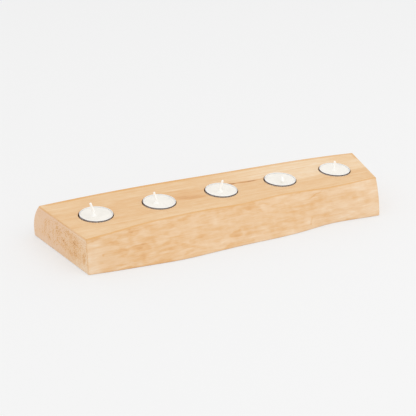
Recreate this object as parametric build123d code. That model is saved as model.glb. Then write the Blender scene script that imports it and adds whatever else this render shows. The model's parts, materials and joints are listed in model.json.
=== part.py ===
from build123d import *
import os
from math import cos, radians, sin, tan

# Live-edge wooden block with a row of round seats, each holding a lift-out tea light.
# Millimetres and degrees. +X runs along the row, +Y to the back, +Z up. The origin is on
# the underside of the block, below the middle of the row.

# Row of tea lights, and how far each hand-drilled seat strays along and across the row
CANDLE_COUNT = 5
CANDLE_PITCH = 80.0
PLACE_SHIFTS = [(0.4, -0.8), (-0.3, 1.2), (0.8, 1.3), (1.3, 0.4), (-0.2, -0.1)]

# Tea light cup, drawn from thin aluminium
CUP_DIAMETER = 38.0
CUP_HEIGHT = 16.0
CUP_WALL = 0.3
CUP_CORNER = 1.5
RIM_OVERHANG = 0.4
RIM_HEIGHT = 0.8
RIM_ROUND = 0.3
FOOT_RING = 4.0
PANEL_RISE = 0.6
PANEL_SLOPE = 0.6

# Wax, cast in the cup and shrunk a little from its wall
WAX_CLEARANCE = 0.2
WAX_DROP = 1.2
WAX_CREEP_AT_WALL = 0.3
WAX_CREEP_WIDTH = 1.2
WAX_CONE_HEIGHT = 1.6
WAX_CONE_WIDTH = 2.0

# Wick and the steel tab that holds its foot
WICK_DIAMETER = 2.8
WICK_INNER_BEND = 0.6
TAB_DIAMETER = 12.5
TAB_THICKNESS = 0.3
COLLAR_WALL = 0.4
COLLAR_HEIGHT = 3.0

# How far each wick's foot strays from the middle of its cup, along and across the row
WICK_FEET = [(-3.4, -1.5), (-4.5, -1.3), (-2.9, -2.7), (1.3, -1.8), (-1.3, -0.2)]

# Each wick's stem, which stands upright above the cone of wax, its free length above the level of
# the wax, its lean from upright and the way it leans, counted from +X to +Y
WICK_POSES = [
    (1.6, 16.9, 18.0, 157.0),
    (2.1, 14.7, 17.6, 154.0),
    (2.8, 15.7, 13.0, -30.0),
    (0.3, 13.2, 106.0, -115.0),
    (0.3, 12.5, 1.5, -37.0),
]

# Seats, drilled into the top of the block, where each tea light stands to the right of the middle
# and behind it
SEAT_CLEARANCE = 1.0
CUP_TO_RIGHT = 0.55
CUP_TO_BACK = 0.4
CUP_PROUD = 1.2
SEAT_BEVEL = 0.6
DRILL_MARK_DIAMETER = 3.0
DRILL_MARK_DEPTH = 1.5

# Wood left round the seats, and the two sawn ends, which spread apart towards the back and
# both lean to the right
WOOD_UNDER_SEAT = 25.2
WOOD_AT_FRONT = 18.5
WOOD_AT_BACK = 16.0
WOOD_AT_LEFT = 23.4
WOOD_AT_RIGHT = 22.5
LEFT_END_ANGLE = 9.8
RIGHT_END_ANGLE = 12.75
END_LEAN = 2.4
EDGE_ROUND = 1.2

# Natural edges: the underside reaches further out than the top, with a swell half way up
# that is given at the left end and at the right
FRONT_FLARE = 22.0
BACK_FLARE = 11.0
FRONT_SWELL = (0.0, 3.4)
BACK_SWELL = (6.1, 5.7)

# Waves of the natural edges: a place along the block, -1 and 1 at its ends, and how far
# the edge stands out there at the top and at the underside
FRONT_WAVES = [
    (-1.15, 16.5, -6.0),
    (-0.92, 14.5, 1.0),
    (-0.77, 10.0, 4.4),
    (-0.62, 4.8, 7.2),
    (-0.42, 1.6, 10.3),
    (-0.21, 0.8, 8.8),
    (0.04, 3.0, 6.7),
    (0.30, -1.0, 6.0),
    (0.44, 0.8, 2.8),
    (0.58, 3.8, -0.8),
    (0.80, 3.1, 1.6),
    (1.15, 1.0, 0.6),
]
BACK_WAVES = [
    (-1.15, 7.0, 4.5),
    (-0.80, 12.0, 9.5),
    (-0.34, 13.6, 14.0),
    (0.13, 10.8, 11.5),
    (0.46, 9.3, 8.5),
    (0.80, 5.9, 6.5),
    (1.15, -3.0, -2.0),
]

# Sizes that follow from those above
wall_radius = CUP_DIAMETER / 2 - RIM_OVERHANG
cavity_radius = wall_radius - CUP_WALL
panel_radius = wall_radius - CUP_CORNER - FOOT_RING
wax_radius = cavity_radius - WAX_CLEARANCE
wick_radius = WICK_DIAMETER / 2
seat_radius = CUP_DIAMETER / 2 + SEAT_CLEARANCE
seat_depth = CUP_HEIGHT - CUP_PROUD
block_height = WOOD_UNDER_SEAT + seat_depth
row_reach = (CANDLE_COUNT - 1) / 2 * CANDLE_PITCH + seat_radius
left_end = row_reach + WOOD_AT_LEFT
right_end = row_reach + WOOD_AT_RIGHT
half_length = (left_end + right_end) / 2

# Heights inside a tea light, counted from the underside of its cup
panel_top = PANEL_RISE + CUP_WALL
collar_top = panel_top + COLLAR_HEIGHT
wax_top = CUP_HEIGHT - WAX_DROP


def turned(corners):
    """A solid turned about Z from its outline: (radius, height, rounding) for each corner."""
    points = [(radius, 0, height) for radius, height, rounding in corners]
    roundings = [rounding for radius, height, rounding in corners]
    outline = FilletPolyline(points, radius=roundings, close=True)
    return revolve(make_face(outline), Axis.Z)


def natural_edge(side, wood, flare, swell, waves, rise):
    """One natural edge at a share of the block's height, from the left end to the right."""
    points = []
    for place, top_wave, base_wave in waves:
        at_top = seat_radius + wood + top_wave
        at_base = seat_radius + wood + flare + base_wave
        left_swell, right_swell = swell
        swell_here = left_swell + (right_swell - left_swell) * (1 + place) / 2
        reach = rise * at_top + (1 - rise) * at_base + 4 * rise * (1 - rise) * swell_here
        points.append((place * half_length, side * reach, rise * block_height))
    return Spline(points)


def log_section(rise):
    """Level section through the unsawn wood at a share of the block's height."""
    front = natural_edge(-1, WOOD_AT_FRONT, FRONT_FLARE, FRONT_SWELL, FRONT_WAVES, rise)
    back = natural_edge(1, WOOD_AT_BACK, BACK_FLARE, BACK_SWELL, BACK_WAVES, rise)
    right = Line(front @ 1, back @ 1)
    left = Line(back @ 0, front @ 0)
    return make_face([front, right, back, left])


def sawn_outline(rise):
    """Level outline between the two end cuts at a share of the block's height."""
    left_spread = half_length * tan(radians(LEFT_END_ANGLE))
    right_spread = half_length * tan(radians(RIGHT_END_ANGLE))
    lean = (rise - 0.5) * block_height * tan(radians(END_LEAN))
    height = rise * block_height
    return make_face(Polyline([
        (lean - left_end + left_spread, -half_length, height),
        (lean + right_end - right_spread, -half_length, height),
        (lean + right_end + right_spread, half_length, height),
        (lean - left_end - left_spread, half_length, height),
    ], close=True))


def seat_cutter():
    """What one seat takes out of the wood: a flat hole, its bevelled mouth and the drill's mark."""
    floor = WOOD_UNDER_SEAT
    mark_radius = DRILL_MARK_DIAMETER / 2
    mouth_radius = seat_radius + SEAT_BEVEL
    return turned([
        (0, floor - DRILL_MARK_DEPTH, 0),
        (mark_radius, floor, 0),
        (seat_radius, floor, 0),
        (seat_radius, block_height - SEAT_BEVEL, 0),
        (mouth_radius, block_height, 0),
        (mouth_radius, block_height + SEAT_BEVEL, 0),
        (0, block_height + SEAT_BEVEL, 0),
    ])


def wooden_block(places):
    """The slab with its sawn ends, softened edges and seats."""
    log = loft([log_section(rise) for rise in (0, 0.5, 1)])
    slab = log & loft([sawn_outline(0), sawn_outline(1)])
    slab = fillet(slab.edges(), EDGE_ROUND)
    cutter = seat_cutter()
    for x, y in places:
        slab -= Pos(x - CUP_TO_RIGHT, y - CUP_TO_BACK, 0) * cutter
    return slab


def tea_light_cup():
    """Drawn cup with a rolled rim and a floor panel that is pressed up from its foot ring."""
    rim_radius = CUP_DIAMETER / 2
    slope_end = panel_radius + PANEL_SLOPE
    return turned([
        (0, PANEL_RISE, 0),
        (panel_radius, PANEL_RISE, 0),
        (slope_end, 0, 0),
        (wall_radius, 0, CUP_CORNER),
        (wall_radius, CUP_HEIGHT - RIM_HEIGHT, 0),
        (rim_radius, CUP_HEIGHT - RIM_HEIGHT, RIM_ROUND),
        (rim_radius, CUP_HEIGHT, RIM_ROUND),
        (cavity_radius, CUP_HEIGHT, 0),
        (cavity_radius, CUP_WALL, CUP_CORNER - CUP_WALL),
        (slope_end, CUP_WALL, 0),
        (panel_radius, panel_top, 0),
        (0, panel_top, 0),
    ])


def candle_wax(foot):
    """Cast wax that creeps up the wall and climbs the wick, less the room of the wick and its tab."""
    tab_radius = TAB_DIAMETER / 2
    tab_top = panel_top + TAB_THICKNESS
    collar_radius = wick_radius + COLLAR_WALL
    cone_radius = wick_radius + WAX_CONE_WIDTH
    cone_top = wax_top + WAX_CONE_HEIGHT
    room_top = cone_top + wick_radius
    ring_start = panel_radius + PANEL_SLOPE + WAX_CLEARANCE
    ring_floor = CUP_WALL + WAX_CLEARANCE
    cast = turned([
        (0, panel_top, 0),
        (panel_radius, panel_top, 0),
        (ring_start, ring_floor, 0),
        (wax_radius, ring_floor, CUP_CORNER - CUP_WALL),
        (wax_radius, wax_top + WAX_CREEP_AT_WALL, 0),
        (wax_radius - WAX_CREEP_WIDTH, wax_top, WAX_CREEP_WIDTH),
        (0, wax_top, 0),
    ])
    cone = turned([
        (0, collar_top, 0),
        (cone_radius, collar_top, 0),
        (cone_radius, wax_top, 0),
        (wick_radius, cone_top, 0),
        (0, cone_top, 0),
    ])
    room = turned([
        (0, 0, 0),
        (tab_radius, 0, 0),
        (tab_radius, tab_top, 0),
        (collar_radius, tab_top, 0),
        (collar_radius, collar_top, 0),
        (wick_radius, collar_top, 0),
        (wick_radius, room_top, 0),
        (0, room_top, 0),
    ])
    return cast + foot * cone - foot * room


def wick_sustainer():
    """Steel tab on the cup's floor, with the collar that grips the wick."""
    tab_radius = TAB_DIAMETER / 2
    collar_radius = wick_radius + COLLAR_WALL
    return turned([
        (wick_radius, panel_top, 0),
        (tab_radius, panel_top, 0),
        (tab_radius, panel_top + TAB_THICKNESS, 0),
        (collar_radius, panel_top + TAB_THICKNESS, 0),
        (collar_radius, collar_top, 0),
        (wick_radius, collar_top, 0),
    ])


def wick(stem, free_length, lean, heading):
    """Round wick, upright through the wax and along its stem, then bent over towards its heading."""
    bend = wick_radius + WICK_INNER_BEND
    turn = radians(lean)
    bend_start = wax_top + WAX_CONE_HEIGHT + stem
    straight = free_length - WAX_CONE_HEIGHT - stem - bend * turn

    def on_bend(angle):
        return Vector(bend * (1 - cos(angle)), 0, bend_start + bend * sin(angle))

    foot = Line((0, 0, panel_top), (0, 0, bend_start))
    curve = ThreePointArc(on_bend(0), on_bend(turn / 2), on_bend(turn))
    tail = Line(on_bend(turn), on_bend(turn) + Vector(sin(turn), 0, cos(turn)) * straight)
    section = Pos(0, 0, panel_top) * Circle(wick_radius)
    return Rot(0, 0, heading) * sweep(section, path=Wire([foot, curve, tail]))


places = []
for index in range(CANDLE_COUNT):
    along, across = PLACE_SHIFTS[index % len(PLACE_SHIFTS)]
    places.append(((index - (CANDLE_COUNT - 1) / 2) * CANDLE_PITCH + along, across))

nodes = {"wooden_block": wooden_block(places)}
for index, (x, y) in enumerate(places):
    seat = Pos(x, y, WOOD_UNDER_SEAT)
    foot = Pos(*WICK_FEET[index % len(WICK_FEET)])
    number = index + 1
    nodes[f"tea_light_cup_{number}"] = seat * tea_light_cup()
    nodes[f"candle_wax_{number}"] = seat * candle_wax(foot)
    nodes[f"wick_sustainer_{number}"] = seat * foot * wick_sustainer()
    nodes[f"wick_{number}"] = seat * foot * wick(*WICK_POSES[index % len(WICK_POSES)])

os.makedirs("parts", exist_ok=True)
for name, shape in nodes.items():
    export_step(shape, f"parts/{name}.step")
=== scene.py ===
import json
import math

import bmesh
import bpy
from bpy.props import FloatProperty, FloatVectorProperty, PointerProperty
from mathutils import Matrix, Vector, noise
from mathutils.bvhtree import BVHTree
from mathutils.kdtree import KDTree

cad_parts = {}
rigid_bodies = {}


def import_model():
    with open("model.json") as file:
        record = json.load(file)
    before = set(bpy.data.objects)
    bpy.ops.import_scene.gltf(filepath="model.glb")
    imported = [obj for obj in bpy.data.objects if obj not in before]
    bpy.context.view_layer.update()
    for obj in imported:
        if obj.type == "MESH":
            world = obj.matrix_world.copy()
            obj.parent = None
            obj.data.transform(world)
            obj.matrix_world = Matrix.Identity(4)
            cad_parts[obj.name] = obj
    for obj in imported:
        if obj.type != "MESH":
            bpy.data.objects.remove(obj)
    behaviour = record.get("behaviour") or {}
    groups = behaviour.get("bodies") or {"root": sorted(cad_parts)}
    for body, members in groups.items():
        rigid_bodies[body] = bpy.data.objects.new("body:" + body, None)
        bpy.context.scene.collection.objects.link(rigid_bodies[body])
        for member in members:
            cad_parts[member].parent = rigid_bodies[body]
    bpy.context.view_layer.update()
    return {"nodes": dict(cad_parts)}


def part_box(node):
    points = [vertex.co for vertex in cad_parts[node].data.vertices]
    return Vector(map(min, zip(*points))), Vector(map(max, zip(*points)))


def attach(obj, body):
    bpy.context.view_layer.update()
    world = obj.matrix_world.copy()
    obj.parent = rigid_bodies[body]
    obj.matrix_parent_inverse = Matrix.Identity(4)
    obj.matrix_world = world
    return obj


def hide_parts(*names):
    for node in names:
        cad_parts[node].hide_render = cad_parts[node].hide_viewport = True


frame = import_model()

bl_info = {
    "name": "Tea light holder",
    "version": (1, 0, 0),
    "blender": (4, 5, 0),
    "location": "View3D > Sidebar > Tea light holder",
    "description": "Dresses a live-edge wooden tea light holder: its wood, cups, wax, wicks and stage",
    "category": "Object",
}

MM = 0.001
TAU = 2 * math.pi
CUP_NODES = [name for name in frame["nodes"] if name.startswith("tea_light_cup_")]
NUMBERS = sorted(int(name.rsplit("_", 1)[1]) for name in CUP_NODES)

# Points round the seats, the cups, the wax and each strand of a wick, and the angles in degrees
# above which their edges stay crisp
SEAT_POINTS = 128
CUP_POINTS = 160
WAX_POINTS = 112
STRAND_POINTS = 10
CRISP_BLOCK = 35.0
CRISP_TURNED = 50.0
CRISP_WICK = 75.0

# Small sizes of the seats, the cups and the wax, as the solids have them
DRILL_MARK_RADIUS = 1.5 * MM
DRILL_MARK_DEPTH = 1.5 * MM
CUP_CORNER = 1.5 * MM
PANEL_RISE = 0.6 * MM
FOOT_RING = 4.0 * MM
WAX_CORNER = 1.2 * MM
WAX_CREEP = 0.3 * MM
WICK_INNER_BEND = 0.6 * MM

# Small sizes that only the dressed pieces have. On the block, how far from the foot, the top and the ends
# the ripples fade out
RIPPLE_FROM_FOOT = 4.0 * MM
RIPPLE_FROM_TOP = 5.0 * MM
RIPPLE_FROM_END = 3.0 * MM

# On the cups, a groove with its place as shares of the floor panel, dents, and a line of painted shade
# below the rim
GROOVE_DEPTH = 0.25 * MM
GROOVE_PLACE = (0.55, 0.60, 0.66, 0.71)
DENT_DEPTH = 0.07 * MM
PAINTED_SHADE_LINE = 1.0 * MM

# On the wax, how wide it creeps up the wall, a sunk ring with its radius and half width, and an uneven skin
WAX_CREEP_WIDTH = 1.6 * MM
WAX_SINK = 0.12 * MM
WAX_SINK_RADIUS = 8.0 * MM
WAX_SINK_HALF = 7.0 * MM
WAX_SKIN = 0.07 * MM

# On the wicks, the number of strands, the length of one turn of the plait, and the frayed end
STRANDS = 3
PLAIT_LENGTH = 5.0 * MM
FRAYED_END = 2.0 * MM
THIN_END = 1.2 * MM

# The floor's half width and how far it lies below the block, and the lamp's place and width, in metres
FLOOR_HALF = 4.0
FLOOR_DROP = 0.0002
LAMP_PLACE = (0.6, -0.9, 1.6)
LAMP_WIDTH = 1.4

# Each wick's upright stem and its free length, both from the level of the wax, its lean from upright
# and the way it leans from +X to +Y, as the solids have them
WICK_POSES = [
    (3.2 * MM, 16.9 * MM, 18.0, 157.0),
    (3.7 * MM, 14.7 * MM, 17.6, 154.0),
    (4.4 * MM, 15.7 * MM, 13.0, -30.0),
    (1.9 * MM, 13.2 * MM, 106.0, -115.0),
    (1.9 * MM, 12.5 * MM, 1.5, -37.0),
]

# Oval marks in the wood, in millimetres: place along and across the face, half length and half width,
# slope, and how much deeper the colour is there
TOP_MARKS = [
    (-44.0, -1.5, 30.0, 7.0, -0.15, 0.28),
    (-42.0, 6.0, 34.0, 14.0, -0.05, 0.13),
    (-52.0, 19.0, 18.0, 1.5, -0.08, 0.30),
    (-46.0, 22.5, 26.0, 1.7, -0.10, -0.14),
    (-108.0, 22.0, 30.0, 2.6, 0.05, 0.14),
    (24.0, 16.0, 14.0, 4.5, -0.10, 0.16),
    (15.0, 13.4, 12.0, 3.2, -0.12, 0.90),
    (37.0, 11.6, 22.0, 2.8, -0.10, 0.62),
    (55.0, 10.6, 18.0, 2.2, 0.0, 0.36),
    (46.0, -5.5, 36.0, 8.0, 0.0, 0.09),
    (190.0, 27.0, 24.0, 7.0, -0.20, 0.16),
]
FRONT_MARKS = [
    (-188.0, 37.4, 12.0, 3.2, 0.0, 0.75),
    (-172.2, 18.0, 2.8, 1.6, 0.0, 0.45),
    (-158.0, 28.2, 6.0, 3.0, 0.0, 0.35),
    (-154.0, 18.5, 12.0, 6.0, 0.1, 0.45),
    (-150.0, 4.4, 18.0, 2.4, 0.0, -0.50),
    # Darker line along the foot: painted contact shade with the softened edge's own colour
    (-140.0, 0.8, 60.0, 1.8, 0.0, 0.40),
    (-147.0, 33.5, 9.0, 4.0, 0.0, 0.40),
    (-136.0, 20.0, 24.0, 3.2, 0.0, 0.45),
    (-132.0, 9.0, 22.0, 4.0, 0.0, 0.30),
    (-135.5, 36.0, 8.0, 1.8, 0.1, 0.25),
    (-122.0, 17.0, 6.0, 4.0, 0.0, 0.40),
    (-101.0, 23.0, 11.0, 5.0, 0.0, -0.55),
    (-100.0, 11.0, 8.0, 3.0, 0.0, -0.30),
    (-94.0, 19.0, 7.0, 3.0, 0.0, 0.20),
    (-76.0, 13.0, 17.0, 2.8, -0.24, 0.55),
    (-74.0, 6.5, 9.0, 2.6, 0.0, 0.45),
    (-71.0, 37.0, 9.0, 2.2, 0.0, 0.30),
    (-86.0, 26.5, 10.0, 3.5, 0.0, -0.35),
    (-65.0, 14.5, 8.0, 3.5, -0.3, 0.45),
    (-60.0, 19.5, 8.0, 4.0, 0.0, 0.32),
    (-50.0, 35.0, 7.0, 3.0, 0.0, 0.25),
    (-31.0, 6.0, 12.0, 3.4, 0.1, -0.55),
    (-18.0, 38.0, 14.0, 2.6, 0.0, 0.45),
    (-12.0, 13.2, 13.0, 3.4, 0.0, 0.80),
    (13.0, 37.0, 12.0, 3.4, 0.0, 0.35),
    (16.0, 34.0, 46.0, 6.0, 0.0, 0.22),
    (14.0, 11.5, 18.0, 3.4, 0.0, 0.40),
    (8.0, 32.0, 9.0, 3.0, 0.0, -0.35),
    (33.0, 32.5, 10.0, 4.0, 0.0, -0.50),
    (48.0, 10.0, 10.0, 5.0, 0.0, 0.50),
    (68.0, 2.0, 24.0, 4.0, 0.1, -0.55),
    (74.0, 22.0, 9.0, 4.0, 0.0, 0.30),
    (78.0, 36.5, 9.0, 3.0, 0.0, -0.35),
    (90.0, 25.0, 15.0, 5.0, 0.1, 0.30),
    (103.0, 35.4, 15.0, 1.3, 0.32, 0.45),
    (91.0, 9.0, 3.5, 6.0, 0.0, 0.50),
    (116.0, 16.0, 13.0, 4.5, 0.0, -0.45),
    # Darker line along the foot: painted contact shade with the softened edge's own colour
    (130.0, 0.8, 40.0, 1.8, 0.0, 0.35),
    (140.0, 6.0, 22.0, 3.6, 0.0, -0.40),
    (158.0, 25.0, 9.0, 4.5, 0.0, 0.36),
    (176.0, 10.0, 15.0, 9.0, 0.0, -0.50),
]
END_MARKS = [
    (9.0, 33.2, 5.0, 1.2, -0.3, 0.50),
    (20.4, 18.2, 3.5, 1.4, 0.0, 0.30),
    (-8.4, 18.8, 2.8, 2.4, 0.0, 0.50),
    (-8.0, 20.0, 10.0, 3.0, 0.5, 0.25),
    (-16.0, 17.0, 3.0, 2.0, 0.0, 0.25),
    (-34.0, 25.0, 9.5, 1.6, 0.19, 0.45),
    (-19.0, 31.5, 8.0, 4.0, 0.3, 0.38),
    (-45.0, 25.0, 6.0, 5.0, 0.0, 0.30),
    (-51.0, 16.0, 4.0, 13.0, 0.0, 0.55),
    (-20.0, 11.0, 8.0, 4.0, 0.0, 0.25),
    (-36.0, 12.2, 4.0, 1.4, 0.0, 0.30),
]

# How the line between heartwood and sapwood on the top shifts along the row: from, to, change across
HEART_LINE_START = 24.0
HEART_LINE_SHIFTS = [(2.0, 16.0, -12.0), (72.0, 100.0, -19.0), (98.0, 138.0, 1.0), (146.0, 176.0, -2.0)]


def paint(red, green, blue):
    """A colour given in display values from 0 to 255, as the shaders take it."""
    def linear(value):
        share = value / 255
        return share / 12.92 if share <= 0.04045 else ((share + 0.055) / 1.055) ** 2.4
    return (linear(red), linear(green), linear(blue))


def colour(name, description, red, green, blue):
    """A colour setting with its default in display values."""
    return FloatVectorProperty(name=name, description=description, subtype="COLOR", size=3, min=0, max=1,
                               default=paint(red, green, blue))


def length(name, description, millimetres):
    """A length setting with its default in millimetres."""
    return FloatProperty(name=name, description=description, subtype="DISTANCE", unit="LENGTH",
                         default=millimetres * MM, precision=5)


# Settings

class WoodSettings(bpy.types.PropertyGroup):
    """Sizes and colours of the wooden block"""
    cream: colour("Cream", "Palest sapwood", 244, 222, 193)
    pale: colour("Pale", "Sapwood", 241, 210, 171)
    honey: colour("Honey", "Ordinary colour of the wood", 234, 195, 148)
    tan: colour("Tan", "Deeper streaks", 229, 181, 128)
    brown: colour("Brown", "Dark streaks and lines", 208, 151, 98)
    # The dark tone also paints the seats: their drilled grain and painted shade in the gap round the cups
    dark: colour("Dark", "Small flecks and cracks", 146, 92, 58)
    rosy: colour("Rosy", "Pinkish cast of the natural edges and the ends", 236, 201, 172)
    edge_gold: colour("Edge gold", "Line along the softened edges", 228, 176, 112)
    ring_width: length("Ring width", "Spacing of the yearly rings", 2.6)
    heart_radius: length("Heart radius", "How far the heartwood reaches from the pith", 45.0)
    edge_round: length("Edge round", "Softening of the block's edges, as the solid has it", 1.2)
    ripple: length("Ripple", "Depth of the ripples on the natural edges", 0.7)
    mesh_step: length("Mesh step", "Spacing of the mesh along the block", 1.7)
    seat_bevel: length("Seat bevel", "Softening of the seats' mouths", 0.25)


class TeaLightSettings(bpy.types.PropertyGroup):
    """Sizes and colours of the tea lights"""
    aluminium: colour("Aluminium", "Drawn foil of the cups", 252, 253, 255)
    # Painted shade: a dark line on the foil under each rim stands in for the shadow in the gap round the
    # cup
    painted_rim_shade: colour("Rim shade", "Dull line of the foil under the rim", 72, 50, 26)
    wax: colour("Wax", "Off-white wax", 248, 244, 236)
    wax_shade: colour("Wax shade", "Greyer clouds in the wax", 242, 238, 230)
    cotton: colour("Cotton", "Waxed cotton of the wicks", 255, 254, 250)
    steel: colour("Steel", "Tinned sheet of the wick tabs", 176, 178, 180)
    cup_wall: length("Cup wall", "Thickness of the foil", 0.3)
    rim_roll: length("Rim roll", "Radius of the rolled rim", 0.35)
    wax_drop: length("Wax drop", "Wax level below the rim", 1.2)
    wax_cone: length("Wax cone", "How far the wax climbs up the wick", 2.4)
    wax_cone_reach: length("Wax cone reach", "Where the wax starts to climb, from the wick's middle", 3.8)
    wick_radius: length("Wick radius", "Half the wick's thickness", 1.4)


class StageSettings(bpy.types.PropertyGroup):
    """Camera, light and floor"""
    heading: FloatProperty(name="Heading", description="Way the camera looks, turned from +Y towards +X",
                           subtype="ANGLE", default=math.radians(29.04))
    dip: FloatProperty(name="Dip", description="How far the camera looks down", subtype="ANGLE",
                       default=math.radians(25.47))
    roll: FloatProperty(name="Roll", description="Tilt of the camera about its own line of sight",
                        subtype="ANGLE", default=math.radians(2.5))
    place: FloatVectorProperty(name="Place", description="Where the camera stands", subtype="TRANSLATION",
                               size=3, default=(-0.6189, -1.0845, 0.6116))
    lens: FloatProperty(name="Lens", description="Focal length on a 36 mm sensor",
                        subtype="DISTANCE_CAMERA", default=100.9)
    paper: colour("Paper", "Pale floor and backdrop", 245, 245, 245)
    ambient: FloatProperty(name="Ambient", description="Strength of the light from all round",
                           default=0.93)
    key: FloatProperty(name="Key", description="Power of the large soft lamp", subtype="POWER",
                       default=4.0)


# Node building

class Wire:
    """A node's output that takes arithmetic: each operation adds a Math node."""

    def __init__(self, finish, socket):
        self.finish = finish
        self.socket = socket

    def math(self, operation, *others):
        return self.finish.sum(operation, self, *others)

    def __add__(self, other):
        return self.finish.sum("ADD", self, other)

    def __radd__(self, other):
        return self.finish.sum("ADD", other, self)

    def __sub__(self, other):
        return self.finish.sum("SUBTRACT", self, other)

    def __rsub__(self, other):
        return self.finish.sum("SUBTRACT", other, self)

    def __mul__(self, other):
        return self.finish.sum("MULTIPLY", self, other)

    def __rmul__(self, other):
        return self.finish.sum("MULTIPLY", other, self)

    def __truediv__(self, other):
        return self.finish.sum("DIVIDE", self, other)

    def __pow__(self, other):
        return self.finish.sum("POWER", self, other)

    def __abs__(self):
        return self.finish.sum("ABSOLUTE", self)


class Finish:
    """A material that is built node by node."""

    def __init__(self, name, **constants):
        self.material = bpy.data.materials.new(name)
        self.material.use_nodes = True
        self.tree = self.material.node_tree
        self.shader = self.tree.nodes["Principled BSDF"]
        for socket, value in constants.items():
            self.shader.inputs[socket.replace("_", " ")].default_value = value
        self.place = self.node("ShaderNodeTexCoord", out="Object")

    def node(self, kind, settings=None, values=None, out=0):
        """Adds a node: its settings first, then the values or links of its sockets."""
        made = self.tree.nodes.new(kind)
        for key, value in (settings or {}).items():
            if key == "stops":
                self.set_stops(made.color_ramp, value)
            else:
                setattr(made, key, value)
        for key, value in (values or {}).items():
            self.feed(made.inputs[key], value)
        return Wire(self, made.outputs[out])

    def feed(self, socket, value):
        if isinstance(value, Wire):
            self.tree.links.new(value.socket, socket)
        elif socket.type == "RGBA":
            socket.default_value = (*value[:3], 1.0)
        else:
            socket.default_value = value

    def set_stops(self, ramp, stops):
        while len(ramp.elements) < len(stops):
            ramp.elements.new(1.0)
        for element, (position, shade) in zip(ramp.elements, stops):
            element.position = position
            element.color = (*shade[:3], 1.0)

    def sum(self, operation, *values):
        return self.node("ShaderNodeMath", {"operation": operation}, dict(enumerate(values)))

    def attribute(self, name):
        """A value stored at the points of the mesh."""
        return self.node("ShaderNodeAttribute", {"attribute_name": name}, out="Fac")

    def noise(self, waves, shift=0.0, detail=2.0, roughness=0.5, distortion=0.0):
        """Noise from 0 to 1, with so many waves to the metre along each axis."""
        at = self.node("ShaderNodeVectorMath", {"operation": "MULTIPLY_ADD"},
                       {0: self.place, 1: waves, 2: (shift, shift * 1.7, shift * 2.3)})
        values = {"Vector": at, "Scale": 1.0, "Detail": detail, "Roughness": roughness,
                  "Distortion": distortion}
        return self.node("ShaderNodeTexNoise", {}, values, "Fac")

    def step(self, value, low, high):
        """0 below low, 1 above high and smooth between them; high may be the lower one."""
        return self.node("ShaderNodeMapRange", {"interpolation_type": "SMOOTHSTEP"},
                         {"Value": value, "From Min": low, "From Max": high})

    def blend(self, share, first, second):
        """One value turning into another."""
        return first + (second - first) * share

    def mix(self, share, first, second):
        """One colour turning into another: the node's sockets 6 and 7 and its output 2 are its colours."""
        return self.node("ShaderNodeMix", {"data_type": "RGBA"}, {0: share, 6: first, 7: second}, 2)

    def axes(self, vector=None):
        parts = self.node("ShaderNodeSeparateXYZ", {}, {0: vector or self.place})
        return [Wire(self, output) for output in parts.socket.node.outputs]

    def bump(self, height, strength, distance):
        values = {"Strength": strength, "Distance": distance, "Height": height}
        self.feed(self.shader.inputs["Normal"], self.node("ShaderNodeBump", {}, values))

    def surface(self, base, roughness):
        self.feed(self.shader.inputs["Base Color"], base)
        self.feed(self.shader.inputs["Roughness"], roughness)


# Finishes

def marks(made, along, across, table):
    """Depth added by oval marks with soft edges."""
    total = 0.0
    for place, height, half_length, half_width, slope, depth in table:
        run = along - place
        rise = (across - height - run * slope) / half_width
        run = run / half_length
        total = total + made.step(run * run + rise * rise, 1.0, 0.0) * depth
    return total


def top_depth(made, x, y):
    """Depth of colour on the sawn top: heartwood in front of a wandering line, sapwood behind it."""
    line = HEART_LINE_START
    for start, end, change in HEART_LINE_SHIFTS:
        line = line + made.step(x, start, end) * change
    behind = made.step(y - line, -2.5, 2.5)
    to_right = made.step(x, -10.0, 80.0)
    front_strip = made.step(y, -22.0, -42.0)
    left_strip = made.step(x, -150.0, -190.0)
    between_seats = made.step(abs(y), 28.0, 16.0) * made.step(x, 0.0, -40.0)
    depth = 0.50 - behind * (0.06 + 0.26 * to_right)
    depth = depth - 0.08 * front_strip - 0.06 * left_strip + 0.05 * between_seats
    bent_x = x + 14.0 * (made.noise((40.0, 90.0, 40.0), 2.6) - 0.5)
    bent_y = y + 4.0 * (made.noise((30.0, 60.0, 30.0), 7.7) - 0.5)
    mottle = made.noise((70.0, 130.0, 130.0), 5.1, detail=3.0, roughness=0.6)
    return depth + 0.45 * (mottle - 0.5) + marks(made, bent_x, bent_y, TOP_MARKS)


def side_depth(made, x, y, z):
    """Depth of colour on the natural edges: cloudy patches, curly bands and a few marks on the front."""
    patch = made.noise((34.0, 90.0, 90.0), 6.6, detail=2.0, distortion=0.8)
    blotch = made.noise((44.0, 190.0, 190.0), 9.4, detail=4.0, roughness=0.65, distortion=0.4)
    curl = made.noise((110.0, 14.0, 14.0), 3.9, detail=1.0)
    front = made.step(y, 0.0, -10.0)
    bent_x = x + 22.0 * (made.noise((50.0, 50.0, 90.0), 8.1) - 0.5)
    bent_z = z + 9.0 * (made.noise((60.0, 60.0, 120.0), 5.7) - 0.5)
    pale_corner = made.step(x, -176.0, -186.0)
    darker_left = made.step(x, -170.0, -130.0) * made.step(x, -70.0, -100.0)
    paler_right = made.step(x, 90.0, 190.0)
    depth = 0.46 + 0.90 * (patch - 0.5) + 0.95 * (blotch - 0.5) + 0.30 * (curl - 0.5)
    depth = depth + 0.08 * darker_left - 0.16 * paler_right
    return depth + front * (0.6 * marks(made, bent_x, bent_z, FRONT_MARKS) - 0.28 * pale_corner)


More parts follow.
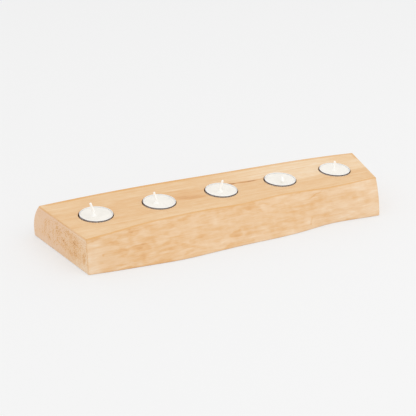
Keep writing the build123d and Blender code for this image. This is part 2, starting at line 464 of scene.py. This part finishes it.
def end_depth(made, wood, y, z, late, radius):
    """Depth of colour on the sawn ends: saw marks, pores as dots, rings and a paler rim of sapwood."""
    saw = made.noise((100.0, 480.0, 90.0), 7.3, detail=2.0)
    cloud = made.noise((60.0, 60.0, 90.0), 6.2, detail=3.0, distortion=0.5)
    dots = made.noise((100.0, 800.0, 800.0), 2.9, detail=2.0)
    sap = made.step(radius, wood.heart_radius / MM - 1.0, wood.heart_radius / MM + 3.0)
    paler_top = made.step(z, 24.0, 37.0)
    paler_foot = made.step(z, 14.0, 2.0)
    paler_back = made.step(y, 0.0, 30.0)
    paler_front = made.step(y, -30.0, -46.0)
    depth = 0.50 + 0.9 * (saw - 0.5) + 2.2 * (dots - 0.5) + 0.9 * (cloud - 0.5)
    depth = depth + 0.25 * late - 0.12 * sap
    depth = depth - 0.10 * paler_top - 0.36 * paler_foot - 0.10 * paler_back - 0.13 * paler_front
    return depth + 0.65 * marks(made, y, z, END_MARKS)


def yearly_rings(made, wood, y, z):
    """Distance from the pith, which runs along the underside, and the darker late wood of each ring."""
    aside = y + 4.0
    above = z + 2.0
    swell = made.noise((7.0, 45.0, 45.0), 1.3, detail=2.0)
    radius = (aside * aside + above * above).math("SQRT") + (swell - 0.5) * 7.0
    phase = (radius / (wood.ring_width / MM)).math("FRACT")
    late = phase ** 3.0 * made.step(phase, 1.0, 0.93)
    return radius, late


def edge_lines(made, x, y, z, on_end):
    """Golden line along the top's softened edges, widest at the back, and a pale one below it on ends."""
    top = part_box("wooden_block")[1].z / MM
    from_edge = made.attribute("from_edge") * (1 / MM)
    below_edge = made.step(from_edge, 3.2, 1.8) * made.step(from_edge, 0.6, 1.4)
    pale = on_end * below_edge * made.step(z, top - 6.0, top - 4.0)
    at_back = made.step(y, 10.0, 30.0)
    at_left = made.step(x, 10.0, -60.0)
    near_end = made.step(x + 0.17 * y, -193.0, -199.0)
    down_corner = (1.0 - on_end) * made.step(z, top - 2.0, top - 5.0)
    worn = made.step(made.noise((24.0, 24.0, 24.0), 3.1), 0.35, 0.6)
    width = 1.8 + at_back * (1.0 - near_end) * (4.4 + 0.6 * at_left)
    softer = 0.2 * on_end + 0.7 * down_corner
    softer = softer + 0.3 * near_end * (1.0 - at_back) + 0.08 * at_back * (1.0 - at_left)
    golden = made.step(from_edge / width, 1.0, 0.3) * (1.0 - softer).math("MAXIMUM", 0.2)
    return golden * (0.6 + 0.3 * worn + 0.1 * at_back * at_left), pale


def oiled_wood(wood):
    """Pale oiled hardwood, cut from a halved log: a depth of colour picks a tone from cream to dark."""
    made = Finish("oiled_wood", Specular_IOR_Level=0.3)
    x, y, z = [axis * (1 / MM) for axis in made.axes()]
    across, _, upward = made.axes(made.node("ShaderNodeNewGeometry", out="Normal"))
    on_end = made.step(abs(across), 0.55, 0.85)
    on_top = made.step(abs(upward), 0.80, 0.96)

    # Rings, long fibres and streaks
    radius, late = yearly_rings(made, wood, y, z)
    fibre = made.noise((18.0, 1000.0, 1000.0), 2.2, detail=2.0, roughness=0.6)
    streak = made.noise((8.0, 260.0, 260.0), 4.4, detail=3.0, roughness=0.55)
    grain = (0.15 + 0.35 * on_top) * (streak - 0.5) + (0.6 + 0.3 * on_top) * (fibre - 0.5) + 0.05 * late

    # Depth of colour on each face
    golden, pale = edge_lines(made, x, y, z, on_end)
    depth = made.blend(on_top, side_depth(made, x, y, z), top_depth(made, x, y)) + grain
    depth = made.blend(on_end, depth, end_depth(made, wood, y, z, late, radius)) - 0.35 * pale

    # Tone, then the pinkish cast of the sides, the golden edges, and the seats' drilled grain with painted
    # shade
    shades = [wood.cream, wood.pale, wood.honey, wood.tan, wood.brown, wood.dark]
    stops = list(zip((0.0, 0.13, 0.33, 0.53, 0.75, 1.0), shades))
    tone = made.node("ShaderNodeValToRGB", {"stops": stops}, {"Fac": depth / 1.5}, "Color")
    rosy = 0.22 + on_end * (0.5 * made.step(y, -48.0, 10.0) + 0.2 * made.step(z, 22.0, 36.0))
    rosy = rosy * (1.0 - on_top) * made.step(depth, 0.75, 0.35)
    tone = made.mix(rosy, tone, wood.rosy)
    tone = made.mix(golden, tone, wood.edge_gold)
    # The seats turn towards the darkest tone: their drilled grain, and painted shade for the gap round the
    # cups
    tone = made.mix(made.attribute("drilled") * (0.55 + 0.3 * streak), tone, wood.dark)
    made.surface(tone, 0.50 + 0.16 * streak + 0.10 * on_end)
    made.bump(fibre + 0.5 * late, 0.25, 0.00012)
    return made.material


def drawn_aluminium(tea_light):
    """Thin drawn foil with faint draw lines up the wall, clouds and a line of painted shade under the rim.
    """
    made = Finish("drawn_aluminium", Metallic=0.6)
    lines = made.noise((900.0, 900.0, 40.0), 1.1, detail=2.0)
    clouds = made.noise((160.0, 160.0, 160.0), 4.2, detail=2.0)
    dull = tuple(0.92 * part for part in tea_light.aluminium)
    foil = made.mix(made.step(clouds, 0.3, 0.7), tea_light.aluminium, dull)
    # Painted shade under the rim, for the shadow in the gap between the cup and its seat
    foil = made.mix(made.attribute("under_rim"), foil, tea_light.painted_rim_shade)
    made.surface(foil, 0.38 + 0.22 * lines)
    made.bump(lines, 0.15, 0.00005)
    return made.material


def paraffin(tea_light):
    """Off-white wax with faint clouds and a cast skin, and painted light round the wick's foot that lifts
    the shade there.
    """
    made = Finish("paraffin", Specular_IOR_Level=0.4)
    clouds = made.noise((110.0, 110.0, 110.0), 2.7, detail=3.0)
    skin = made.noise((700.0, 700.0, 700.0), 6.1, detail=2.0)
    cast = made.mix(made.step(clouds, 0.35, 0.75), tea_light.wax, tea_light.wax_shade)
    # Painted light: the wax turns whiter towards the wick's foot
    cast = made.mix(made.attribute("near_wick"), cast, tea_light.cotton)
    made.surface(cast, 0.38 + 0.2 * skin)
    made.bump(skin, 0.2, 0.00008)
    return made.material


def waxed_cotton(tea_light):
    """White cotton strands stiffened with wax, with a faint painted glow that brightens the wicks."""
    made = Finish("waxed_cotton", Specular_IOR_Level=0.35, Sheen_Weight=0.6, Sheen_Roughness=0.6,
                  Emission_Strength=0.08)
    # Painted glow: the cotton emits a little light of its own colour
    made.shader.inputs["Emission Color"].default_value = (*tea_light.cotton, 1.0)
    threads = made.noise((2600.0, 2600.0, 900.0), 3.3, detail=2.0)
    dull = tuple(0.94 * part for part in tea_light.cotton)
    made.surface(made.mix(threads, tea_light.cotton, dull), 0.5 + 0.25 * threads)
    made.bump(threads, 0.3, 0.00006)
    return made.material


def tinned_steel(tea_light):
    """Stamped tinned sheet with rolling marks."""
    made = Finish("tinned_steel", Metallic=1.0)
    rolling = made.noise((150.0, 2400.0, 2400.0), 5.2, detail=2.0)
    dull = tuple(0.75 * part for part in tea_light.steel)
    made.surface(made.mix(rolling, tea_light.steel, dull), 0.28 + 0.25 * rolling)
    made.bump(rolling, 0.15, 0.00004)
    return made.material


# Mesh building

def piece(name, mesh, material, body, slot, *nodes):
    """A finished piece that stands for CAD nodes and moves with their body."""
    mesh.materials.clear()
    mesh.materials.append(material)
    made = bpy.data.objects.new(name, mesh)
    bpy.context.scene.collection.objects.link(made)
    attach(made, body)
    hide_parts(*nodes)
    return made


def to_mesh(name, points, faces, sharp=CRISP_BLOCK):
    """A smooth-shaded mesh with crisp edges where its faces meet at more than the sharp angle."""
    mesh = bpy.data.meshes.new(name)
    mesh.from_pydata(points, [], faces)
    work = bmesh.new()
    work.from_mesh(mesh)
    bmesh.ops.recalc_face_normals(work, faces=work.faces)
    work.to_mesh(mesh)
    work.free()
    mesh.shade_smooth()
    mesh.set_sharp_from_angle(angle=math.radians(sharp))
    return mesh


def turned(profile, centre, segments, shape=None):
    """Points and faces of an outline of (radius, height) turned about an upright axis, which is where
    the outline starts and ends. shape moves each point."""
    points = []
    rings = []
    for radius, height in profile:
        count = 1 if radius < 1e-7 else segments
        ring = []
        for turn in range(count):
            angle = TAU * turn / segments
            out, up = (radius, height) if shape is None else shape(radius, angle, height)
            ring.append(len(points))
            points.append(centre + Vector((out * math.cos(angle), out * math.sin(angle), up)))
        rings.append(ring)
    faces = []
    for first, second in zip(rings, rings[1:]):
        for turn in range(segments):
            ahead = (turn + 1) % segments
            if len(first) == 1:
                faces.append((first[0], second[ahead], second[turn]))
            elif len(second) == 1:
                faces.append((first[turn], first[ahead], second[0]))
            else:
                faces.append((first[turn], first[ahead], second[ahead], second[turn]))
    return points, faces


def arc(centre_radius, centre_height, radius, start, end, count):
    """Outline points round an arc, angles in degrees."""
    angles = [math.radians(start + (end - start) * step / count) for step in range(count + 1)]
    return [(centre_radius + radius * math.cos(a), centre_height + radius * math.sin(a)) for a in angles]


def spread(start, end, step):
    """Evenly spaced values with both ends, no further apart than the step."""
    count = max(1, math.ceil(abs(end - start) / step))
    return [start + (end - start) * n / count for n in range(count + 1)]


def ease(value):
    """0 to 1 with soft ends."""
    share = min(1.0, max(0.0, value))
    return share * share * (3 - 2 * share)


# The block

class BlockProbe:
    """Reads the block's outline off its solid with straight probes."""

    def __init__(self):
        mesh = frame["nodes"]["wooden_block"].data
        corners = [vertex.co for vertex in mesh.vertices]
        self.tree = BVHTree.FromPolygons(corners, [polygon.vertices for polygon in mesh.polygons])
        self.low, self.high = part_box("wooden_block")
        self.far = (self.high - self.low).length
        self.middle = (self.low.z + self.high.z) / 2
        self.left = self.end_line(1)
        self.right = self.end_line(-1)

    def hit(self, start, heading):
        return self.tree.ray_cast(Vector(start), Vector(heading).normalized())[0]

    def end_line(self, way):
        """Place on the row's line at mid-height, slope across the block and lean of one sawn end."""
        reach = 20 * MM
        rise = 10 * MM
        start = -way * self.far
        near, off = [self.hit((start, y, self.middle), (way, 0, 0)).x for y in (-reach, reach)]
        under, over = [self.hit((start, 0, self.middle + z), (way, 0, 0)).x for z in (-rise, rise)]
        return (near + off) / 2, (off - near) / (2 * reach), (over - under) / (2 * rise)

    def line(self, share, height):
        """Place on the row's line and slope of a level cut at a share of the block's length."""
        place, slope, lean = [(1 - share) * a + share * b for a, b in zip(self.left, self.right)]
        return place + lean * (height - self.middle), slope

    def side(self, share, height, way):
        """Where a level line along a cut meets the front (-1) or the back (1) edge. A probe that misses at
        the very top or foot is moved a little towards mid-height."""
        for _ in range(12):
            place, slope = self.line(share, height)
            start = (place + slope * way * self.far, way * self.far, height)
            found = self.hit(start, (-way * slope, -way, 0))
            if found is not None:
                return found
            height += (self.middle - height) * 0.02
        raise RuntimeError("the probe missed the block")

    def seat(self, centre):
        """Axis, radius and floor height of the seat under a tea light, probed beside the drill's mark."""
        top = self.high.z
        beside = centre.x + 5 * MM
        floor = self.hit((beside, centre.y, top + self.far), (0, 0, -1)).z
        height = (floor + top) / 2
        left, right = [self.hit((centre.x, centre.y, height), (way, 0, 0)).x for way in (-1, 1)]
        middle = (left + right) / 2
        front, back = [self.hit((middle, centre.y, height), (0, way, 0)).y for way in (-1, 1)]
        return Vector((middle, (front + back) / 2, 0)), (back - front) / 2, floor


def rounded_levels(size, rounding, step):
    """Heights from 0 to size, close together where the edges are rounded."""
    turns = [rounding * (1 - math.cos(math.radians(angle))) for angle in (10, 35, 60)]
    inner = spread(rounding, size - rounding, step)
    return turns + inner + [size - turn for turn in reversed(turns)]


def ripple_depth(place, depth):
    """How far a point on a natural edge lies below the highest ripples, from waves to the metre."""
    broad = noise.noise(Vector((place.x * 16, place.y * 9, place.z * 62)))
    fine = noise.noise(Vector((place.x * 45 + 7, place.y * 20, place.z * 170 + 3)))
    return depth * (0.45 - 0.40 * broad - 0.15 * fine)


def slab(probe, wood):
    """The block without its seats, a box of quads with ripples on its natural edges, and points on the
    lines where the top's edges and the left end's front corner lie."""
    rounding = wood.edge_round
    length_here = probe.right[0] - probe.left[0]
    height = probe.high.z - probe.low.z
    shares = [place / length_here for place in rounded_levels(length_here, rounding, wood.mesh_step)]
    levels = [level / height for level in rounded_levels(height, rounding, wood.mesh_step)]
    depth = probe.high.y - probe.low.y
    acrosses = [place / depth for place in spread(0, depth, 1.4 * wood.mesh_step)]
    edges = []
    for share in shares:
        from_end = min(share, 1 - share) * length_here
        drop = 0.0
        if from_end < rounding:
            drop = rounding - math.sqrt(rounding ** 2 - (rounding - from_end) ** 2)
        column = []
        for level in levels:
            up = probe.low.z + drop + level * (height - 2 * drop)
            fade = ease((up - probe.low.z) / RIPPLE_FROM_FOOT) * ease((probe.high.z - up) / RIPPLE_FROM_TOP)
            fade *= ease((from_end - rounding) / RIPPLE_FROM_END)
            pair = []
            for way in (-1, 1):
                found = probe.side(share, up, way)
                inward = way * fade * ripple_depth(found, wood.ripple)
                pair.append(Vector((found.x, found.y - inward, up)))
            column.append(pair)
        edges.append(column)
    arris = [point for column in edges for point in column[-1]] + [front for front, back in edges[0]]
    for front, back in (edges[0][-1], edges[-1][-1]):
        arris += [front.lerp(back, share) for share in acrosses]

    points = []
    index = {}
    last = (len(shares) - 1, len(acrosses) - 1, len(levels) - 1)

    def corner(i, j, k):
        if (i, j, k) not in index:
            front, back = edges[i][k]
            index[i, j, k] = len(points)
            points.append(front.lerp(back, acrosses[j]))
        return index[i, j, k]

    faces = []

    def quad(*places):
        faces.append([corner(*place) for place in places])

    for i in range(last[0]):
        for j in range(last[1]):
            for k in (0, last[2]):
                quad((i, j, k), (i + 1, j, k), (i + 1, j + 1, k), (i, j + 1, k))
    for i in range(last[0]):
        for k in range(last[2]):
            for j in (0, last[1]):
                quad((i, j, k), (i + 1, j, k), (i + 1, j, k + 1), (i, j, k + 1))
    for j in range(last[1]):
        for k in range(last[2]):
            for i in (0, last[0]):
                quad((i, j, k), (i, j + 1, k), (i, j + 1, k + 1), (i, j, k + 1))
    return to_mesh("slab", points, faces), arris


def note_edges(mesh, arris):
    """Stores each point's distance from the edges of the top, for the golden line along them."""
    tree = KDTree(len(arris))
    for number, point in enumerate(arris):
        tree.insert(point, number)
    tree.balance()
    values = mesh.attributes.new("from_edge", "FLOAT", "POINT").data
    for vertex in mesh.vertices:
        values[vertex.index].value = tree.find(vertex.co)[2]


def note_seats(mesh, seats, top):
    """Stores how dark each point is painted, for the drilled grain and for painted shade in the gap round
    the cups: fully on the seats' walls, less on floors.
    """
    values = mesh.attributes.new("drilled", "FLOAT", "POINT").data
    for vertex in mesh.vertices:
        up = vertex.co.z
        for centre, radius, floor in seats:
            inside = (vertex.co - centre).xy.length < radius + 0.05 * MM
            if inside and 0.5 * top < up < top - 0.1 * MM:
                values[vertex.index].value = 0.35 if up < floor + MM else 1.0


def find_seats(probe):
    """Axis, radius and floor height of each seat."""
    seats = []
    for number in NUMBERS:
        low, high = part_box(f"tea_light_cup_{number}")
        seats.append(probe.seat((low + high) / 2))
    return seats


def seat_cutters(seats, top, bevel):
    """What the drill takes out: flat-bottomed holes with a bevelled mouth and the drill's centre mark."""
    points = []
    faces = []
    for centre, radius, floor in seats:
        clear = top + 3 * MM
        profile = [
            (0, floor - DRILL_MARK_DEPTH),
            (DRILL_MARK_RADIUS, floor),
            (radius, floor),
            (radius, top - bevel),
            (radius + bevel, top),
            (radius + bevel, clear),
            (0, clear),
        ]
        more_points, more_faces = turned(profile, centre, SEAT_POINTS)
        faces += [[corner + len(points) for corner in face] for face in more_faces]
        points += more_points
    return to_mesh("seat_cutters", points, faces)


def carve(body_mesh, cutter_mesh):
    """The first mesh with the second cut out of it."""
    scene = bpy.context.scene.collection.objects
    body = bpy.data.objects.new("carve_body", body_mesh)
    cutter = bpy.data.objects.new("carve_cutter", cutter_mesh)
    scene.link(body)
    scene.link(cutter)
    cut = body.modifiers.new("seats", "BOOLEAN")
    cut.operation = "DIFFERENCE"
    cut.solver = "EXACT"
    cut.object = cutter
    bpy.context.view_layer.update()
    carved = bpy.data.meshes.new_from_object(body.evaluated_get(bpy.context.evaluated_depsgraph_get()))
    bpy.data.objects.remove(body)
    bpy.data.objects.remove(cutter)
    carved.shade_smooth()
    carved.set_sharp_from_angle(angle=math.radians(CRISP_BLOCK))
    return carved


# The tea lights

def cup_mesh(number, tea_light):
    """Foil cup with a rolled rim, a pressed-up floor with a groove, and the small dents of thin foil."""
    low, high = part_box(f"tea_light_cup_{number}")
    centre = Vector(((low.x + high.x) / 2, (low.y + high.y) / 2, low.z))
    height = high.z - low.z
    wall = tea_light.cup_wall
    roll = tea_light.rim_roll
    inner = high.x - centre.x - 2 * roll
    outer = inner + wall
    corner = CUP_CORNER
    panel = outer - corner - FOOT_RING
    step = 1.2 * MM

    def floor_line(lift):
        """Floor from the axis outwards: the panel with its groove, then the slope to the foot ring."""
        level = PANEL_RISE + lift
        depths = (0, GROOVE_DEPTH, GROOVE_DEPTH, 0)
        groove = [(share * panel, level - depth) for share, depth in zip(GROOVE_PLACE, depths)]
        return [(0, level), *groove, (panel, level), (panel + PANEL_RISE, lift)]

    profile = floor_line(0)
    profile += arc(outer - corner, corner, corner, -90, 0, 6)
    profile += [(outer, up) for up in spread(corner, height - 2 * roll, step)[1:]]
    profile += arc(inner + roll, height - roll, roll, -80, 180, 14)
    profile += [(inner, up) for up in spread(height - 2 * roll, corner, step)]
    profile += arc(inner - corner + wall, corner, corner - wall, 0, -90, 6)[1:]
    profile += reversed(floor_line(wall))

    def dented(radius, angle, up):
        on_wall = ease((radius - inner + 1.0 * MM) / (0.8 * MM)) * ease(up / (3 * MM))
        dent = noise.noise(Vector((2.2 * math.cos(angle), 2.2 * math.sin(angle), up * 180 + 11 * number)))
        return radius + on_wall * DENT_DEPTH * dent, up

    points, faces = turned(profile, centre, CUP_POINTS, shape=dented)
    mesh = to_mesh(f"foil_cup_{number}", points, faces, sharp=CRISP_TURNED)
    # Where the painted shade goes: outer wall points just below the rolled rim
    values = mesh.attributes.new("under_rim", "FLOAT", "POINT").data
    for vertex in mesh.vertices:
        outside = (vertex.co - centre).xy.length > inner + 0.5 * wall
        below = high.z - vertex.co.z
        values[vertex.index].value = float(outside and 1.2 * roll < below < 2 * roll + PAINTED_SHADE_LINE)
    return mesh


def wick_foot(number):
    """Middle of the tab that holds the wick, on the underside of the wax."""
    low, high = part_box(f"wick_sustainer_{number}")
    return Vector(((low.x + high.x) / 2, (low.y + high.y) / 2, low.z))


def wax_mesh(number, tea_light):
    """Cast wax that creeps up the wall, climbs the wick in a cone and sinks a little between them."""
    low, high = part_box(f"candle_wax_{number}")
    cup_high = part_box(f"tea_light_cup_{number}")[1]
    centre = Vector(((low.x + high.x) / 2, (low.y + high.y) / 2, 0))
    foot = wick_foot(number)
    outer = high.x - centre.x
    level = cup_high.z - tea_light.wax_drop
    corner = WAX_CORNER
    panel = outer - corner - FOOT_RING
    top = []
    for radius in reversed(spread(0, outer, 0.5 * MM)):
        wall_creep = WAX_CREEP * ease(1 - (outer - radius) / WAX_CREEP_WIDTH)
        sink = WAX_SINK * ease(1 - abs(radius - WAX_SINK_RADIUS) / WAX_SINK_HALF)
        top.append((radius, level + wall_creep - sink))
    profile = [(radius, foot.z + 0.1 * MM) for radius in spread(0, panel, 2 * MM)]
    profile += [(panel + 0.8 * MM, low.z)]
    profile += arc(outer - corner, low.z + corner, corner, -90, 0, 5)
    profile += [(outer, up) for up in spread(low.z + corner, top[0][1], 1.5 * MM)[1:-1]]
    profile += top

    def cast(radius, angle, up):
        x = radius * math.cos(angle)
        y = radius * math.sin(angle)
        reach = math.hypot(centre.x + x - foot.x, centre.y + y - foot.y)
        cone = tea_light.wax_cone * ease(1 - reach / tea_light.wax_cone_reach) ** 2
        skin = WAX_SKIN * noise.noise(Vector((x * 140, y * 140, 3.7 * number)))
        return radius, up + ease((up - level + 2 * MM) / MM) * (cone + skin)

    points, faces = turned(profile, centre, WAX_POINTS, shape=cast)
    mesh = to_mesh(f"cast_wax_{number}", points, faces, sharp=CRISP_TURNED)
    # How much painted light each point on the top gets near the wick's foot
    values = mesh.attributes.new("near_wick", "FLOAT", "POINT").data
    for vertex in mesh.vertices:
        reach = (vertex.co - foot).xy.length
        on_top = float(vertex.co.z > level - MM)
        values[vertex.index].value = on_top * ease(2 - 2 * reach / tea_light.wax_cone_reach)
    return mesh


def wick_line(number, tea_light):
    """A wick's line as the solid has it, upright through the wax, then a bend and a free end: a function
    that gives place and direction at a distance along it, its length and the level line across its bend."""
    foot = wick_foot(number)
    stem, free, lean, heading = WICK_POSES[(number - 1) % len(WICK_POSES)]
    bend = tea_light.wick_radius + WICK_INNER_BEND
    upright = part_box(f"tea_light_cup_{number}")[1].z - tea_light.wax_drop + stem - foot.z
    turn = math.radians(lean)
    out = Vector((math.cos(math.radians(heading)), math.sin(math.radians(heading)), 0))
    up = Vector((0, 0, 1))

    def along(run):
        angle = min(turn, max(0.0, (run - upright) / bend))
        after = max(0.0, run - upright - bend * turn)
        heading_here = out * math.sin(angle) + up * math.cos(angle)
        spot = up * (min(run, upright) + bend * math.sin(angle)) + out * bend * (1 - math.cos(angle))
        return foot + spot + heading_here * after, heading_here

    return along, upright + free - stem, Vector((-out.y, out.x, 0))


def wick_mesh(number, tea_light):
    """Three plaited strands along the wick's line, thinner and closer together at their frayed end."""
    along, whole, side = wick_line(number, tea_light)
    strand = 0.74 * tea_light.wick_radius
    swing_aside = 0.40 * tea_light.wick_radius
    swing_out = 0.26 * tea_light.wick_radius
    points = []
    faces = []
    runs = spread(0, whole - strand, 0.32 * MM)
    for strand_number in range(STRANDS):
        first = len(points)
        for run in runs:
            spot, tangent = along(run)
            cross = side.cross(tangent)
            swing = TAU * (run / PLAIT_LENGTH + strand_number / STRANDS)
            closer = 1 - 0.20 * ease(1 - (whole - run) / FRAYED_END)
            spot = spot + side * (swing_aside * math.sin(swing) * closer)
            spot = spot + cross * (swing_out * math.sin(2 * swing) * closer)
            thick = strand * (1 - 0.35 * ease(1 - (whole - run) / THIN_END))
            for turn in range(STRAND_POINTS):
                angle = TAU * turn / STRAND_POINTS
                points.append(spot + (side * math.cos(angle) + cross * math.sin(angle)) * thick)
        rings = [range(start, start + STRAND_POINTS) for start in range(first, len(points), STRAND_POINTS)]
        for low, high in zip(rings, rings[1:]):
            for turn in range(STRAND_POINTS):
                ahead = (turn + 1) % STRAND_POINTS
                faces.append([low[turn], low[ahead], high[ahead], high[turn]])
        for ring, run, way in ((rings[0], runs[0], -1), (rings[-1], runs[-1], 1)):
            middle = sum((points[corner] for corner in ring), Vector()) / STRAND_POINTS
            points.append(middle + along(run)[1] * way * 0.5 * strand)
            for turn in range(STRAND_POINTS):
                faces.append([ring[turn], ring[(turn + 1) % STRAND_POINTS], len(points) - 1])
    return to_mesh(f"plaited_wick_{number}", points, faces, sharp=CRISP_WICK)


# Operators

class HOLDER_OT_stage(bpy.types.Operator):
    """Lay the pale floor, set the soft light and place the camera"""
    bl_idname = "holder.stage"
    bl_label = "Stage"

    def execute(self, context):
        scene = context.scene
        stage = scene.holder_stage
        scene.view_settings.view_transform = "Standard"
        self.add_camera(scene, stage)
        self.add_world(scene, stage)
        self.add_floor(scene, stage)
        self.add_lamp(scene, stage)
        return {"FINISHED"}

    def add_camera(self, scene, stage):
        data = bpy.data.cameras.new("camera")
        data.lens = stage.lens
        data.sensor_width = 36
        data.clip_end = 50
        camera = bpy.data.objects.new("camera", data)
        turn = Matrix.Rotation(-stage.heading, 4, "Z") @ Matrix.Rotation(math.pi / 2 - stage.dip, 4, "X")
        camera.matrix_world = Matrix.Translation(stage.place) @ turn @ Matrix.Rotation(stage.roll, 4, "Z")
        scene.collection.objects.link(camera)
        scene.camera = camera

    def add_world(self, scene, stage):
        """White light from all round, which the camera and the reflections see as the paper's colour."""
        scene.world = scene.world or bpy.data.worlds.new("studio")
        scene.world.use_nodes = True
        nodes = scene.world.node_tree.nodes
        links = scene.world.node_tree.links
        nodes.clear()
        path = nodes.new("ShaderNodeLightPath")
        seen = path.outputs["Is Camera Ray"]
        for ray in ("Is Glossy Ray", "Is Transmission Ray"):
            either = nodes.new("ShaderNodeMath")
            either.operation = "MAXIMUM"
            links.new(seen, either.inputs[0])
            links.new(path.outputs[ray], either.inputs[1])
            seen = either.outputs[0]
        light = nodes.new("ShaderNodeBackground")
        light.inputs["Color"].default_value = (1, 1, 1, 1)
        light.inputs["Strength"].default_value = stage.ambient
        shown = nodes.new("ShaderNodeBackground")
        shown.inputs["Color"].default_value = (*stage.paper, 1)
        mix = nodes.new("ShaderNodeMixShader")
        links.new(seen, mix.inputs[0])
        links.new(light.outputs[0], mix.inputs[1])
        links.new(shown.outputs[0], mix.inputs[2])
        out = nodes.new("ShaderNodeOutputWorld")
        links.new(mix.outputs[0], out.inputs["Surface"])

    def add_floor(self, scene, stage):
        """Wide sheet of paper, half lit by the lamps and half by its own glow as the camera sees it."""
        half = FLOOR_HALF
        mesh = bpy.data.meshes.new("floor")
        corners = [(-half, -half, 0), (half, -half, 0), (half, half, 0), (-half, half, 0)]
        mesh.from_pydata(corners, [], [(0, 1, 2, 3)])
        floor = bpy.data.objects.new("floor", mesh)
        floor.location.z = -FLOOR_DROP
        scene.collection.objects.link(floor)
        made = Finish("paper_floor", Roughness=0.9, Specular_IOR_Level=0.1)
        grain = made.noise((900.0, 900.0, 900.0), 1.0)
        off = tuple(0.985 * part for part in stage.paper)
        made.surface(made.mix(grain, stage.paper, off), 0.9 + 0.05 * grain)
        # The glow is painted a little darker further back: painted shade where the light on the paper falls
        # off
        away = made.step(made.axes()[1], -0.3, 1.4)
        tint = made.mix(away, stage.paper, tuple(0.96 * part for part in stage.paper))
        glow = made.node("ShaderNodeEmission", {}, {"Color": tint, "Strength": 1.0})
        share = made.node("ShaderNodeLightPath", out="Is Camera Ray") * 0.5
        lit = Wire(made, made.shader.outputs[0])
        mix = made.node("ShaderNodeMixShader", {}, {0: share, 1: lit, 2: glow})
        made.feed(made.tree.nodes["Material Output"].inputs["Surface"], mix)
        mesh.materials.append(made.material)

    def add_lamp(self, scene, stage):
        data = bpy.data.lights.new("key_lamp", "AREA")
        data.shape = "DISK"
        data.size = LAMP_WIDTH
        data.energy = stage.key
        lamp = bpy.data.objects.new("key_lamp", data)
        lamp.location = LAMP_PLACE
        lamp.rotation_mode = "QUATERNION"
        lamp.rotation_quaternion = (-Vector(LAMP_PLACE)).to_track_quat("-Z", "Y")
        scene.collection.objects.link(lamp)


class HOLDER_OT_block(bpy.types.Operator):
    """Shape the wooden block with its natural edges and drilled seats"""
    bl_idname = "holder.block"
    bl_label = "Wooden block"

    def execute(self, context):
        wood = context.scene.holder_wood
        probe = BlockProbe()
        whole, arris = slab(probe, wood)
        seats = find_seats(probe)
        mesh = carve(whole, seat_cutters(seats, probe.high.z, wood.seat_bevel))
        note_edges(mesh, arris)
        note_seats(mesh, seats, probe.high.z)
        piece("live_edge_block", mesh, oiled_wood(wood), "block", "wood", "wooden_block")
        return {"FINISHED"}


class HOLDER_OT_cups(bpy.types.Operator):
    """Draw the foil cups"""
    bl_idname = "holder.cups"
    bl_label = "Foil cups"

    def execute(self, context):
        tea_light = context.scene.holder_tea_light
        foil = drawn_aluminium(tea_light)
        for number in NUMBERS:
            mesh = cup_mesh(number, tea_light)
            piece(f"foil_cup_{number}", mesh, foil, f"cup_{number}", "cup_aluminium",
                  f"tea_light_cup_{number}")
        return {"FINISHED"}


class HOLDER_OT_wax(bpy.types.Operator):
    """Cast the wax"""
    bl_idname = "holder.wax"
    bl_label = "Wax"

    def execute(self, context):
        tea_light = context.scene.holder_tea_light
        wax = paraffin(tea_light)
        for number in NUMBERS:
            mesh = wax_mesh(number, tea_light)
            piece(f"cast_wax_{number}", mesh, wax, f"candle_{number}", "wax", f"candle_wax_{number}")
        return {"FINISHED"}


class HOLDER_OT_wicks(bpy.types.Operator):
    """Plait the wicks and finish the steel tabs at their feet"""
    bl_idname = "holder.wicks"
    bl_label = "Wicks and tabs"

    def execute(self, context):
        tea_light = context.scene.holder_tea_light
        cotton = waxed_cotton(tea_light)
        steel = tinned_steel(tea_light)
        for number in NUMBERS:
            mesh = wick_mesh(number, tea_light)
            piece(f"plaited_wick_{number}", mesh, cotton, f"candle_{number}", "wick_cotton",
                  f"wick_{number}")
            tab = frame["nodes"][f"wick_sustainer_{number}"]
            tab.data.materials.clear()
            tab.data.materials.append(steel)
        return {"FINISHED"}


class HOLDER_PT_panel(bpy.types.Panel):
    """Lists the pieces of the tea light holder and their settings"""
    bl_label = "Tea light holder"
    bl_idname = "HOLDER_PT_panel"
    bl_space_type = "VIEW_3D"
    bl_region_type = "UI"
    bl_category = "Tea light holder"

    def draw(self, context):
        for operator in OPERATORS:
            self.layout.operator(operator.bl_idname)
        for name in SETTINGS:
            settings = getattr(context.scene, name)
            for key in settings.__annotations__:
                self.layout.prop(settings, key)


OPERATORS = [HOLDER_OT_stage, HOLDER_OT_block, HOLDER_OT_cups, HOLDER_OT_wax, HOLDER_OT_wicks]
SETTINGS = {
    "holder_wood": WoodSettings,
    "holder_tea_light": TeaLightSettings,
    "holder_stage": StageSettings,
}


def register():
    for settings in SETTINGS.values():
        bpy.utils.register_class(settings)
    for operator in OPERATORS:
        bpy.utils.register_class(operator)
    bpy.utils.register_class(HOLDER_PT_panel)
    for name, settings in SETTINGS.items():
        setattr(bpy.types.Scene, name, PointerProperty(type=settings))


def unregister():
    for name in SETTINGS:
        delattr(bpy.types.Scene, name)
    bpy.utils.unregister_class(HOLDER_PT_panel)
    for operator in reversed(OPERATORS):
        bpy.utils.unregister_class(operator)
    for settings in reversed(SETTINGS.values()):
        bpy.utils.unregister_class(settings)


def main():
    register()
    bpy.ops.holder.stage()
    bpy.ops.holder.block()
    bpy.ops.holder.cups()
    bpy.ops.holder.wax()
    bpy.ops.holder.wicks()


if __name__ == "__main__":
    main()
